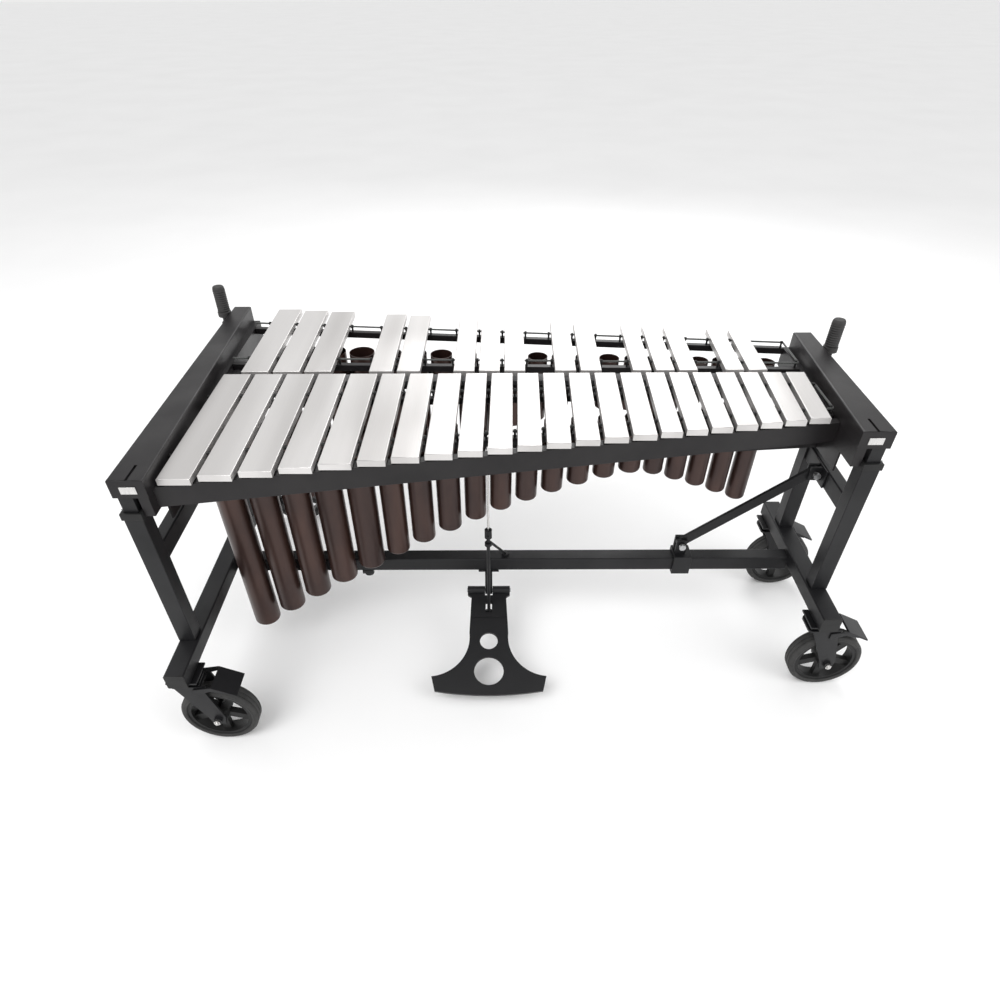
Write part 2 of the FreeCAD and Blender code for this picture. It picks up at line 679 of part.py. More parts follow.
GUIDE_Z = TUBE_HIGH - CLAMP_HIGH - 22.0
guide_ring = ring(8.0, TUBE_ROD_R + AIR, Vector(ROD_X, ROD_Y, GUIDE_Z), Vector(ROD_X, ROD_Y, GUIDE_Z + 8))
guide_foot = Vector(ROD_X + 40, CROSS_Y, CROSS_TOP)
guide_start = Vector(ROD_X + 6, ROD_Y + 4, GUIDE_Z + 4)
guide_arm = rod(3.0, guide_foot + Z_AXIS * 3, guide_start)
guide_base = Part.makeCylinder(9, 6, guide_foot)
bore = Part.makeCylinder(TUBE_ROD_R + AIR, 30, Vector(ROD_X, ROD_Y, GUIDE_Z - 10))
put("rod_guide", [guide_ring.fuse([guide_arm, guide_base]).cut(bore)])

# ---------------------------------------------------------------- lower frame
sleeve_top = BAR_TOP - SLEEVE_TOP_DROP
base_low = BASE_TOP - BASE_H
side_top = BAR_TOP - SIDE_DROP
collars = []
screws = []
for name, y in POSTS.items():
    sign = -1 if name.endswith("left") else 1
    x = sign * POST_X
    sleeve = centred(x, y, BASE_TOP, sleeve_top - COLLAR_HIGH, SLEEVE, SLEEVE)
    bore_size = SLEEVE - 2 * SLEEVE_WALL
    sleeve = sleeve.cut(centred(x, y, BASE_TOP + 6, sleeve_top, bore_size, bore_size))
    put("post_sleeve_" + name, [sleeve])
    collar = centred(x, y, sleeve_top - COLLAR_HIGH, sleeve_top, SLEEVE + 2 * COLLAR_LIP, SLEEVE + 2 * COLLAR_LIP)
    collar = collar.cut(centred(x, y, sleeve_top - 20, sleeve_top + 1, INNER_POST + 2 * AIR, INNER_POST + 2 * AIR))
    collars.append(collar)
    screw_x = x + sign * (SLEEVE / 2 + COLLAR_LIP)
    screw_z = sleeve_top - COLLAR_HIGH / 2
    screws.append(rod(4.0, Vector(screw_x, y, screw_z), Vector(screw_x + sign * 5, y, screw_z)))
put("post_collars", collars)
print("sliding post left inside its sleeve at full lift", POST_INSIDE - LIFT)

BASE_X = OUT - BASE_W / 2
bases = {
    "left": (POSTS["front_left"] - BASE_FRONT_OUT, POSTS["rear_left"] + BASE_REAR_OUT),
    "right": (POSTS["front_right"] - BASE_FRONT_OUT, POSTS["rear_right"] + BASE_REAR_OUT),
}
caps = []
for name, (front, rear) in bases.items():
    x = -BASE_X if name == "left" else BASE_X
    rail = block(x - BASE_W / 2, x + BASE_W / 2, front, rear, base_low, BASE_TOP)
    hollow = block(x - BASE_W / 2 + BASE_WALL, x + BASE_W / 2 - BASE_WALL, front - 1, rear + 1,
                   base_low + BASE_WALL, BASE_TOP - BASE_WALL)
    rail = round_edges(rail, 3.0, lambda edge: runs_along(edge, Y_AXIS))
    put("base_rail_" + name, [rail.cut(hollow)])
    for y0, y1 in ((front - CAP_THICK, front), (rear, rear + CAP_THICK)):
        cap = block(x - BASE_W / 2, x + BASE_W / 2, y0, y1, base_low, BASE_TOP)
        caps.append(round_edges(cap, 2.9, lambda edge: runs_along(edge, Y_AXIS)))
put("rail_end_caps", caps)

for name in ("left", "right"):
    sign = -1 if name == "left" else 1
    x = sign * POST_X
    front = POSTS["front_" + name] + SLEEVE / 2
    rear = POSTS["rear_" + name] - SLEEVE / 2
    tube = block(x - SIDE_W / 2, x + SIDE_W / 2, front, rear, side_top - SIDE_H, side_top)
    tube = round_edges(tube, 3.0, lambda edge: runs_along(edge, Y_AXIS))
    hollow = block(x - SIDE_W / 2 + BASE_WALL, x + SIDE_W / 2 - BASE_WALL, front - 1, rear + 1,
                   side_top - SIDE_H + BASE_WALL, side_top - BASE_WALL)
    put("side_tube_" + name, [tube.cut(hollow)])

cross_in = OUT - BASE_W
cross = block(-cross_in, cross_in, CROSS_Y - CROSS_SIZE / 2, CROSS_Y + CROSS_SIZE / 2, cross_low, CROSS_TOP)
cross = round_edges(cross, 3.0, lambda edge: runs_along(edge, X_AXIS))
cross_bore = block(-cross_in - 1, cross_in + 1, CROSS_Y - CROSS_SIZE / 2 + 3, CROSS_Y + CROSS_SIZE / 2 - 3,
                   cross_low + 3, CROSS_TOP - 3)
put("crossbar", [cross.cut(cross_bore)])

lock_block = centred(LOCK_X, CROSS_Y, cross_low - 10, cross_low, 26, CROSS_SIZE)
lock_knob = Part.makeCylinder(11, 12, Vector(LOCK_X, CROSS_Y, cross_low - 22))
put("crossbar_lock", [lock_block.fuse(lock_knob).removeSplitter()])

# diagonal brace from the crossbar to the treble side tube
side_in = POST_X - SIDE_W / 2
clamp_size = CROSS_SIZE + 12
eye_z = CROSS_TOP + 34.0
clamp_body = centred(BRACE_X, CROSS_Y, cross_low - 8, CROSS_TOP + 8, 42, clamp_size)
clamp_hole = block(BRACE_X - 30, BRACE_X + 30, CROSS_Y - CROSS_SIZE / 2, CROSS_Y + CROSS_SIZE / 2, cross_low, CROSS_TOP)
lug = centred(BRACE_X - 6, CROSS_Y - 5, CROSS_TOP + 8, eye_z + 12, 24, 8)
lug_pair = centred(BRACE_X - 6, CROSS_Y + 12, CROSS_TOP + 8, eye_z + 12, 24, 8)
put("brace_clamp", [clamp_body.cut(clamp_hole).fuse([lug, lug_pair]).removeSplitter()])

brace_y = CROSS_Y + 3.5
brace_start = Vector(BRACE_X - 6, brace_y, eye_z)
brace_end = Vector(side_in - 16.5, brace_y, side_top - SIDE_H / 2 + 4)
brace_way = brace_end - brace_start
flat = block(-BRACE_WIDE / 2, brace_way.Length + BRACE_WIDE / 2, -BRACE_THICK / 2, BRACE_THICK / 2,
             -BRACE_WIDE / 2, BRACE_WIDE / 2)
flat = round_edges(flat, BRACE_WIDE / 2 - 0.5, lambda edge: runs_along(edge, Y_AXIS))
for hole_x in (0, brace_way.Length):
    flat = flat.cut(rod(4.1, Vector(hole_x, -20, 0), Vector(hole_x, 20, 0)))
flat.rotate(Vector(0, 0, 0), Y_AXIS, -math.degrees(math.atan2(brace_way.z, brace_way.x)))
flat.translate(brace_start)
put("diagonal_brace", [flat])

lug_front = brace_y - BRACE_THICK / 2 - 0.3
lug_rear = brace_y + BRACE_THICK / 2 + 0.3
side_plate = block(side_in - 4, side_in, lug_front - 26, lug_rear + 26, side_top - SIDE_H, side_top)
ear_a = block(side_in - 28, side_in - 4, lug_front - 5, lug_front, side_top - SIDE_H + 6, side_top - 2)
ear_b = block(side_in - 28, side_in - 4, lug_rear, lug_rear + 5, side_top - SIDE_H + 6, side_top - 2)
bolt_hole = rod(4.1, brace_end - Vector(0, 40, 0), brace_end + Vector(0, 40, 0))
put("brace_bracket", [side_plate.fuse([ear_a, ear_b]).removeSplitter().cut(bolt_hole)])
clamp_hole = rod(4.1, brace_start - Vector(0, 40, 0), brace_start + Vector(0, 40, 0))
nodes["brace_clamp"] = nodes["brace_clamp"].cut(clamp_hole)
bolts = []
for end in (brace_start, brace_end):
    shank = rod(4.0, end - Vector(0, 24, 0), end + Vector(0, 20, 0))
    head = rod(7.5, end - Vector(0, 24, 0), end - Vector(0, 17.5, 0))
    bolts.append(shank.fuse(head).removeSplitter())
put("frame_screws", screws + bolts)

# ---------------------------------------------------------------- casters
CASTERS = {
    "front_left": (-BASE_X, bases["left"][0] + 36.0),
    "rear_left": (-BASE_X, bases["left"][1] - 32.0),
    "front_right": (BASE_X, bases["right"][0] + 36.0),
    "rear_right": (BASE_X, bases["right"][1] - 32.0),
}
PLATE_THICK = 5.0
RACE_HIGH = 9.0
crown_top = base_low - PLATE_THICK - RACE_HIGH - AIR
CROWN_THICK = 5.0
fork_in = TYRE_W / 2 + FORK_CLEAR
fork_out = fork_in + FORK_THICK


def caster_plate(x, y):
    top_plate = centred(x, y, base_low - PLATE_THICK, base_low, 62, 56)
    race = Part.makeCylinder(24, RACE_HIGH, Vector(x, y, base_low - PLATE_THICK - RACE_HIGH))
    return top_plate.fuse(race).removeSplitter()


def caster_fork(x, y):
    """Crown, two legs raked back to the axle, the axle bolt and the lug of the brake."""
    crown = block(x - 30, x + 46, y - fork_out, y + fork_out, crown_top - CROWN_THICK, crown_top)
    crown = round_edges(crown, 10.0, lambda edge: runs_along(edge, Z_AXIS))
    crown = crown.cut(block(x + 28, x + 50, y - fork_in, y + fork_in, crown_top - 9, crown_top + 1))
    parts = []
    low = WHEEL_R - 15
    for y0 in (y - fork_out, y + fork_in):
        outline = [Vector(x - 22, y0, crown_top), Vector(x + 34, y0, crown_top),
                   Vector(x + TRAIL + 17, y0, WHEEL_R + 8), Vector(x + TRAIL + 13, y0, low),
                   Vector(x + TRAIL - 13, y0, low), Vector(x + TRAIL - 19, y0, WHEEL_R + 8)]
        face = Part.Face(Part.makePolygon(outline + outline[:1]))
        parts.append(face.extrude(Vector(0, FORK_THICK, 0)))
    parts.append(rod(AXLE_R, Vector(x + TRAIL, y - fork_out - 3, WHEEL_R), Vector(x + TRAIL, y + fork_out + 3, WHEEL_R)))
    for s in (-1, 1):
        start = Vector(x + TRAIL, y + s * fork_out, WHEEL_R)
        parts.append(rod(9.0, start, start + Vector(0, s * 6, 0)))
    fork = crown.fuse(parts).removeSplitter()
    bx, bz = brake_pivot(x)
    return fork.cut(rod(3.05, Vector(bx, y - 40, bz), Vector(bx, y + 40, bz)))


def brake_pivot(x):
    return x + 26.0, crown_top - 14.0


def brake_lever(x, y):
    """A stamped lever over the tyre: pin, two cheeks outside the fork and a foot tab."""
    bx, bz = brake_pivot(x)
    inner = fork_out + AIR
    pin = rod(3.0, Vector(bx, y - inner - 3, bz), Vector(bx, y + inner + 3, bz))
    pieces = [pin]
    for y0 in (y - inner - 3, y + inner):
        cheek = [Vector(bx - 8, y0, bz - 8), Vector(bx - 8, y0, bz + 9), Vector(bx + 30, y0, bz + 15),
                 Vector(bx + 56, y0, bz + 2), Vector(bx + 54, y0, bz - 3), Vector(bx + 26, y0, bz + 4)]
        face = Part.Face(Part.makePolygon(cheek + cheek[:1]))
        pieces.append(face.extrude(Vector(0, 3, 0)))
    tab_low = [Vector(bx + 30, 0, bz + 15), Vector(bx + 78, 0, bz - 9),
               Vector(bx + 76, 0, bz - 12), Vector(bx + 28, 0, bz + 11)]
    face = Part.Face(Part.makePolygon(tab_low + tab_low[:1]))
    tab = face.extrude(Vector(0, 2 * (inner + 3), 0))
    tab.translate(Vector(0, y - inner - 3, 0))
    pieces.append(tab)
    return pieces[0].fuse(pieces[1:]).removeSplitter()


def wheel_parts(x, y):
    """Tyre and spoked hub, turning on the axle bolt."""
    cx = x + TRAIL
    a, b = Vector(cx, y - TYRE_W / 2, WHEEL_R), Vector(cx, y + TYRE_W / 2, WHEEL_R)
    rim_r = WHEEL_R - TYRE_THICK
    tyre = ring(WHEEL_R, rim_r, a, b)
    tyre = round_edges(tyre, 6.0, lambda edge: abs(edge.Curve.Radius - WHEEL_R) < 0.1
                       if hasattr(edge.Curve, "Radius") else False)
    rim = ring(rim_r, rim_r - 8, a + Y_AXIS * 4, b - Y_AXIS * 4)
    boss = rod(18, a + Y_AXIS * 1, b - Y_AXIS * 1)
    spokes = []
    for k in range(5):
        spoke = block(12, rim_r - 4, -8, 8, -7, 7)
        spoke.rotate(Vector(0, 0, 0), X_AXIS, 90)
        spoke.rotate(Vector(0, 0, 0), Y_AXIS, 72 * k + 18)
        spoke.translate(Vector(cx, y, WHEEL_R))
        spokes.append(spoke)
    hub = rim.fuse([boss] + spokes).removeSplitter()
    hub = hub.cut(rod(AXLE_R + RUN_CLEAR, a - Y_AXIS, b + Y_AXIS))
    return tyre, hub


put("caster_plates", [caster_plate(x, y) for x, y in CASTERS.values()])
for name, (x, y) in CASTERS.items():
    tyre, hub = wheel_parts(x, y)
    put("caster_fork_" + name, [caster_fork(x, y)])
    put("caster_tyre_" + name, [tyre])
    put("caster_hub_" + name, [hub])
    lever = brake_lever(x, y)
    put("caster_brake_" + name, [lever])
pivot_x, pivot_z = brake_pivot(x)
pressed = lever.copy()
pressed.rotate(Vector(pivot_x, y, pivot_z), Y_AXIS, BRAKE_SWING)
print("brake pad above the tyre, free and pressed", round(lever.distToShape(tyre)[0], 2),
      round(pressed.distToShape(tyre)[0], 2))

# ---------------------------------------------------------------- move the origin, check and write
whole = Part.makeCompound(list(nodes.values())).optimalBoundingBox(False)
SHIFT = Vector(-whole.Center.x, -whole.Center.y, -whole.ZMin)
os.makedirs("parts", exist_ok=True)
for name, shape in nodes.items():
    shape.translate(SHIFT)
    for solid in shape.Solids:
        if not solid.isValid() or solid.Volume <= 0:
            print("bad solid in", name)
    if not shape.Solids:
        print("no solid in", name)
    shape.exportStep("parts/" + name + ".step")
print(len(nodes), "nodes, size", round(whole.XLength, 1), round(whole.YLength, 1), round(whole.ZLength, 1))
print("shift", tuple(round(v, 2) for v in SHIFT))
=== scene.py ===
# %% [markdown]
# A three-octave vibraphone on a rolling frame.
#
# The measured design arrives as a fixed frame: every bar, tube, rail and wheel already has its size and
# its place, and its object sits at the origin. This file gives those pieces their edges, their finish and
# the parts that a lathe or a mould would make, then sets up a pale studio and a camera.

# %% Load the measured design
import json
import math

import bmesh
import bpy
from mathutils import Matrix, Vector

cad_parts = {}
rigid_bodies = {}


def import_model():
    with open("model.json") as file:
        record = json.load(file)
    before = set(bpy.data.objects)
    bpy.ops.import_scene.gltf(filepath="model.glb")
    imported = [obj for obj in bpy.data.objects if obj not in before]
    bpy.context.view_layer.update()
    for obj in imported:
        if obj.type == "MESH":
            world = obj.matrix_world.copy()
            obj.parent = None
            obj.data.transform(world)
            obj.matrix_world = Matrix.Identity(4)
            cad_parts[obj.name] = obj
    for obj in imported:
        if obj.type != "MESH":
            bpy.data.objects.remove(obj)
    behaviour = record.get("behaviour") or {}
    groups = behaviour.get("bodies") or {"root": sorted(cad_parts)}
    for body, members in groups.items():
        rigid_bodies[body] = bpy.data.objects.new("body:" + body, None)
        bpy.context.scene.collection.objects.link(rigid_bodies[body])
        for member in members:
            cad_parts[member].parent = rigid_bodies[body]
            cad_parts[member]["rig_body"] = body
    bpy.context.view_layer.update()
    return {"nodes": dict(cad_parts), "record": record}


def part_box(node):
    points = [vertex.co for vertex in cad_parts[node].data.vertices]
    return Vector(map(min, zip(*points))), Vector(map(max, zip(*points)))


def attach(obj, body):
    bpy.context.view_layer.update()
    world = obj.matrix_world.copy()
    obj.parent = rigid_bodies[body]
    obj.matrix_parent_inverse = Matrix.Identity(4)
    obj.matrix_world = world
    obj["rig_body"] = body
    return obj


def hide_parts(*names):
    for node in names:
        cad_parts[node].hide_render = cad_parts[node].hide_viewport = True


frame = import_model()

nodes = frame["nodes"]
slot_of = {part["node"]: part["material_slot"] for part in frame["record"]["subparts"]}
MM = 0.001

# %% [markdown]
# ## Building finishes from nodes
# A painted tube looks real when its gloss and its surface are a little uneven. Each finish below starts
# from the principled shader. Noise that reads Object coordinates is the same on both sides of an edge and
# needs no unwrapping. Stretching those coordinates along one direction turns specks into brush marks,
# which is how extruded bars and drawn tubes get their grain.


# %% Helpers for finishes
def new_finish(name, colour, metallic, roughness):
    """A material with its shader, and the Object coordinates that its patterns read."""
    material = bpy.data.materials.new(name)
    material.use_nodes = True
    tree = material.node_tree
    shader = tree.nodes["Principled BSDF"]
    shader.inputs["Base Color"].default_value = (*colour, 1)
    shader.inputs["Metallic"].default_value = metallic
    shader.inputs["Roughness"].default_value = roughness
    coords = tree.nodes.new("ShaderNodeTexCoord").outputs["Object"]
    return material, tree, shader, coords


def stretched(tree, coords, scale):
    """The same coordinates, stretched differently along X, Y and Z."""
    mapping = tree.nodes.new("ShaderNodeMapping")
    mapping.inputs["Scale"].default_value = scale
    tree.links.new(coords, mapping.inputs["Vector"])
    return mapping.outputs["Vector"]


def speckle(tree, coords, scale, detail=3.0):
    """Noise from 0 to 1; scale is features per metre along X, Y and Z."""
    texture = tree.nodes.new("ShaderNodeTexNoise")
    texture.inputs["Scale"].default_value = 1.0
    texture.inputs["Detail"].default_value = detail
    tree.links.new(stretched(tree, coords, scale), texture.inputs["Vector"])
    return texture.outputs["Fac"]


def spread(tree, value, low, high):
    """Maps the middle of a noise value onto the range from low to high."""
    node = tree.nodes.new("ShaderNodeMapRange")
    node.inputs["From Min"].default_value = 0.3
    node.inputs["From Max"].default_value = 0.7
    node.inputs["To Min"].default_value = low
    node.inputs["To Max"].default_value = high
    tree.links.new(value, node.inputs["Value"])
    return node.outputs["Result"]


def two_colours(tree, value, dark, light):
    """Runs from the dark colour to the light one as the value rises."""
    node = tree.nodes.new("ShaderNodeMix")
    node.data_type = "RGBA"
    node.inputs["A"].default_value = (*dark, 1)
    node.inputs["B"].default_value = (*light, 1)
    tree.links.new(spread(tree, value, 0.0, 1.0), node.inputs["Factor"])
    return node.outputs["Result"]


def relief(tree, shader, height, strength, depth):
    """Gives the shader a bump of that depth in metres, from a height between 0 and 1."""
    bump = tree.nodes.new("ShaderNodeBump")
    bump.inputs["Strength"].default_value = strength
    bump.inputs["Distance"].default_value = depth
    tree.links.new(height, bump.inputs["Height"])
    tree.links.new(bump.outputs["Normal"], shader.inputs["Normal"])


# %% [markdown]
# ## Black powder coat
# The frame is steel tube under a satin black powder coat. Real powder coat has a faint orange-peel surface,
# finer than a millimetre, and hands and dust leave cloudy patches that are slightly greyer. One fine noise
# gives the peel its relief, and one slow noise steers both the colour and the gloss of the patches.


# %% Black finishes
def powder_coat(name, dark, light, roughness):
    material, tree, shader, coords = new_finish(name, dark, 0.0, roughness)
    cloud = speckle(tree, coords, (9, 9, 9), 4)
    peel = speckle(tree, coords, (1400, 1400, 1400), 2)
    shader.inputs["Specular IOR Level"].default_value = 0.3
    tree.links.new(two_colours(tree, cloud, dark, light), shader.inputs["Base Color"])
    tree.links.new(spread(tree, cloud, roughness + 0.08, roughness - 0.06), shader.inputs["Roughness"])
    relief(tree, shader, peel, 0.25, 0.2 * MM)
    return material


def moulded_plastic(name, colour, light, roughness):
    material, tree, shader, coords = new_finish(name, colour, 0.0, roughness)
    grain = speckle(tree, coords, (2600, 2600, 2600), 2)
    shader.inputs["Specular IOR Level"].default_value = 0.3
    cloud = speckle(tree, coords, (30, 30, 30), 3)
    tree.links.new(two_colours(tree, cloud, colour, light), shader.inputs["Base Color"])
    tree.links.new(spread(tree, grain, roughness - 0.05, roughness + 0.1), shader.inputs["Roughness"])
    relief(tree, shader, grain, 0.35, 0.12 * MM)
    return material


finishes = {
    "black_paint": powder_coat("satin_black_powder_coat",
                               (0.006, 0.006, 0.007), (0.012, 0.012, 0.013), 0.42),
    "board_black": powder_coat("satin_black_board_paint",
                               (0.007, 0.006, 0.007), (0.015, 0.0135, 0.014), 0.38),
    "black_plastic": moulded_plastic("black_moulded_nylon",
                                     (0.008, 0.008, 0.008), (0.015, 0.015, 0.015), 0.5),
}
print("black finishes:", sorted(finishes))

# %% [markdown]
# ## Tone bars
# The bars are cut from flat aluminium, brushed along their length and anodised matt silver. Brushing is
# noise stretched more than a hundred times along the bar. A second, slower noise makes neighbouring bars
# differ a little, as bars from different lengths of stock do.


# %% Silver, bronze and steel finishes
def brushed_silver():
    material, tree, shader, coords = new_finish("matt_silver_anodised", (0.62, 0.605, 0.60), 0.8, 0.42)
    brush = speckle(tree, coords, (1500, 9, 1500), 5)
    batch = speckle(tree, coords, (14, 1.5, 2), 1)
    tree.links.new(two_colours(tree, batch, (0.56, 0.545, 0.535), (0.68, 0.665, 0.655)),
                   shader.inputs["Base Color"])
    tree.links.new(spread(tree, brush, 0.34, 0.52), shader.inputs["Roughness"])
    shader.inputs["Anisotropic"].default_value = 0.35
    relief(tree, shader, brush, 0.18, 0.06 * MM)
    return material


def bronze_lacquer():
    material, tree, shader, coords = new_finish("dark_bronze_lacquer", (0.045, 0.022, 0.018), 0.5, 0.34)
    draw_marks = speckle(tree, coords, (700, 700, 7), 4)
    cloud = speckle(tree, coords, (16, 16, 6), 3)
    tree.links.new(two_colours(tree, cloud, (0.030, 0.0145, 0.0125), (0.062, 0.030, 0.023)),
                   shader.inputs["Base Color"])
    tree.links.new(spread(tree, draw_marks, 0.28, 0.42), shader.inputs["Roughness"])
    shader.inputs["Coat Weight"].default_value = 0.2
    shader.inputs["Coat Roughness"].default_value = 0.25
    relief(tree, shader, draw_marks, 0.12, 0.05 * MM)
    return material


def plated(name, dark, light, roughness, grain_scale):
    material, tree, shader, coords = new_finish(name, dark, 1.0, roughness)
    grain = speckle(tree, coords, grain_scale, 3)
    tree.links.new(two_colours(tree, grain, dark, light), shader.inputs["Base Color"])
    tree.links.new(spread(tree, grain, roughness - 0.05, roughness + 0.08), shader.inputs["Roughness"])
    relief(tree, shader, grain, 0.1, 0.04 * MM)
    return material


finishes["bar_silver"] = brushed_silver()
finishes["tube_bronze"] = bronze_lacquer()
finishes["bright_metal"] = plated("satin_nickel", (0.52, 0.51, 0.50), (0.68, 0.67, 0.66), 0.24,
                                  (500, 500, 40))
finishes["zinc_steel"] = plated("zinc_plate", (0.40, 0.41, 0.42), (0.58, 0.58, 0.58), 0.34, (300, 300, 300))

# %% [markdown]
# ## Rubber, felt and cord
# Rubber is never quite black: it scatters light from a fine dull grain and gathers dust. Felt and cord are
# fibre, so they take sheen, and the cord's twist is a wave that runs slantwise round it.


# %% Soft finishes
def rubber(name, colour, dust, roughness):
    material, tree, shader, coords = new_finish(name, colour, 0.0, roughness)
    grain = speckle(tree, coords, (1800, 1800, 1800), 3)
    dusty = speckle(tree, coords, (45, 45, 45), 5)
    tree.links.new(two_colours(tree, dusty, colour, dust), shader.inputs["Base Color"])
    tree.links.new(spread(tree, dusty, roughness - 0.06, roughness + 0.1), shader.inputs["Roughness"])
    relief(tree, shader, grain, 0.4, 0.15 * MM)
    return material


def pressed_felt():
    material, tree, shader, coords = new_finish("pressed_black_felt", (0.02, 0.02, 0.022), 0.0, 0.95)
    fibres = speckle(tree, coords, (900, 2200, 900), 6)
    tree.links.new(two_colours(tree, fibres, (0.012, 0.012, 0.013), (0.045, 0.045, 0.05)),
                   shader.inputs["Base Color"])
    shader.inputs["Sheen Weight"].default_value = 0.5
    shader.inputs["Sheen Roughness"].default_value = 0.5
    relief(tree, shader, fibres, 0.8, 0.4 * MM)
    return material


def twisted_cord():
    material, tree, shader, coords = new_finish("twisted_dark_cord", (0.05, 0.05, 0.05), 0.0, 0.8)
    wave = tree.nodes.new("ShaderNodeTexWave")
    wave.bands_direction = "DIAGONAL"
    wave.inputs["Scale"].default_value = 1.0
    wave.inputs["Distortion"].default_value = 0.6
    tree.links.new(stretched(tree, coords, (110, 260, 260)), wave.inputs["Vector"])
    tree.links.new(two_colours(tree, wave.outputs["Fac"], (0.02, 0.021, 0.02), (0.10, 0.105, 0.10)),
                   shader.inputs["Base Color"])
    shader.inputs["Sheen Weight"].default_value = 0.3
    relief(tree, shader, wave.outputs["Fac"], 0.6, 0.4 * MM)
    return material


finishes["grip_rubber"] = rubber("soft_grip_rubber", (0.014, 0.013, 0.013), (0.035, 0.033, 0.033), 0.62)
finishes["tyre"] = rubber("tyre_rubber", (0.012, 0.012, 0.012), (0.040, 0.039, 0.038), 0.66)
finishes["felt"] = pressed_felt()
finishes["cord"] = twisted_cord()
print(len(finishes), "finishes ready")

# %% [markdown]
# ## Giving sheared metal its edges
# No real edge is perfectly sharp: a thin line of light runs along every folded or sawn corner, and without
# it metal looks like card. The design's pieces come as loose triangles, so each copy is first merged, its
# flat areas are dissolved back into whole faces, and then only its long straight corners are bevelled.
# Short edges belong to curves that are already round, so they only need smooth shading.

# %% Copy a node with soft edges
SHARP = math.radians(32)         # a corner that turns less than this is part of a curve
FLAT = math.radians(0.5)         # faces that turn less than this are one face
MERGE = 0.005 * MM               # points nearer than this are one point
LONG = 8                         # an edge is bevelled when it is this many bevel widths long


def hold(mesh, name, body, slot, replaced=()):
    """Makes the finished object, gives it its finish and ties it to the body that carries it."""
    mesh.name = name
    mesh.materials.clear()
    mesh.materials.append(finishes[slot])
    mesh.shade_smooth()
    mesh.set_sharp_from_angle(angle=SHARP)
    piece = bpy.data.objects.new(name, mesh)
    bpy.context.scene.collection.objects.link(piece)
    level = piece.modifiers.new("even_shading", "WEIGHTED_NORMAL")
    level.keep_sharp = True
    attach(piece, body)
    if replaced:
        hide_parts(*replaced)
    return piece


def eased_copy(node, width):
    """A merged copy of a node, with its long corners bevelled by width."""
    shape = bmesh.new()
    shape.from_mesh(nodes[node].data)
    bmesh.ops.remove_doubles(shape, verts=shape.verts, dist=MERGE)
    bmesh.ops.dissolve_limit(shape, angle_limit=FLAT, verts=shape.verts, edges=shape.edges)
    corners = [edge for edge in shape.edges if edge.is_manifold
               and edge.calc_face_angle(0) > SHARP and edge.calc_length() > LONG * width]
    if width and corners:
        bmesh.ops.bevel(shape, geom=corners, offset=width, offset_type="OFFSET", segments=2, profile=0.5,
                        affect="EDGES", clamp_overlap=True, material=-1)
    mesh = bpy.data.meshes.new(node)
    shape.to_mesh(mesh)
    shape.free()
    return hold(mesh, node + "_finished", nodes[node]["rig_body"], slot_of[node], (node,))


# the bevel of each corner, in millimetres, by the start of the node's name; the rest need none
CORNERS = {
    "front_rail": 1.2, "node_rails": 0.8, "resonator_strips": 0.4, "front_plates": 0.3, "end_board": 1.2,
    "damper_bar": 0.6, "damper_felt": 1.5, "damper_arm": 0.4, "damper_guides": 0.6, "pedal_board": 1.2,
    "pedal_hanger": 1.0, "rod_guide": 0.5, "brace_clamp": 1.2, "brace_bracket": 0.8, "diagonal_brace": 1.0,
    "crossbar_lock": 1.0, "post_sleeve": 1.5, "post_collars": 1.0, "inner_posts": 1.0, "handle_stems": 0.8,
    "rail_end_caps": 0.6, "side_tube": 0.6, "caster_plates": 0.8, "caster_fork": 0.7, "caster_brake": 0.7,
    "caster_hub": 0.7,
}
LATHED = ("handle_grips", "caster_tyre")

finished = []
for node in sorted(nodes):
    if not node.startswith(LATHED):
        width = max((size for start, size in CORNERS.items() if node.startswith(start)), default=0.0)
        finished.append(eased_copy(node, width * MM))
print(len(finished), "pieces with eased corners,",
      sum(len(piece.data.polygons) for piece in finished), "faces")

# %% [markdown]
# ## Turning round parts on a lathe
# Tyres, grips and bolts are turned or moulded round an axis, so each is one profile spun a full turn. The
# profile is drawn as pairs of radius and distance along the axis. A profile that starts and ends on the
# axis closes itself; a ring's profile is joined end to start instead.


# %% Lathe helper
def lathe(shape, profile, centre, axis, steps, ring=False):
    """Adds a profile of (radius, along) pairs to the shape, spun a full turn round the axis."""
    side = Vector((0, 0, 1)) if abs(axis.z) < 0.5 else Vector((1, 0, 0))
    corners = [shape.verts.new(centre + side * radius + axis * along) for radius, along in profile]
    pairs = list(zip(corners, corners[1:]))
    if ring:
        pairs.append((corners[-1], corners[0]))
    edges = [shape.edges.new(pair) for pair in pairs]
    bmesh.ops.spin(shape, geom=corners + edges, cent=centre, axis=axis, angle=2 * math.pi, steps=steps,
                   use_merge=True)


def turned_piece(shape, name, body, slot, replaced=()):
    """Closes what the lathe made, turns its faces outwards and holds it."""
    bmesh.ops.remove_doubles(shape, verts=shape.verts, dist=MERGE)
    bmesh.ops.recalc_face_normals(shape, faces=shape.faces)
    mesh = bpy.data.meshes.new(name)
    shape.to_mesh(mesh)
    shape.free()
    return hold(mesh, name, body, slot, replaced)


# %% [markdown]
# ## Tyres
# Each caster has a solid rubber tyre. Its tread has three shallow grooves, the shoulders are round, and a
# raised bead runs round each flank beside the rim, so the profile has more points there.

# %% Tyres
TYRE_WALL = 13 * MM                  # thickness of the rubber, as in the design
GROOVE = 1.4 * MM                    # depth of a groove
GROOVE_PLACES = (0.34, 0.0, -0.34)   # across the tread, as shares of its width
TREAD_SHARE = 0.8                    # the tread's share of the tyre's width
TYRE_STEPS = 96


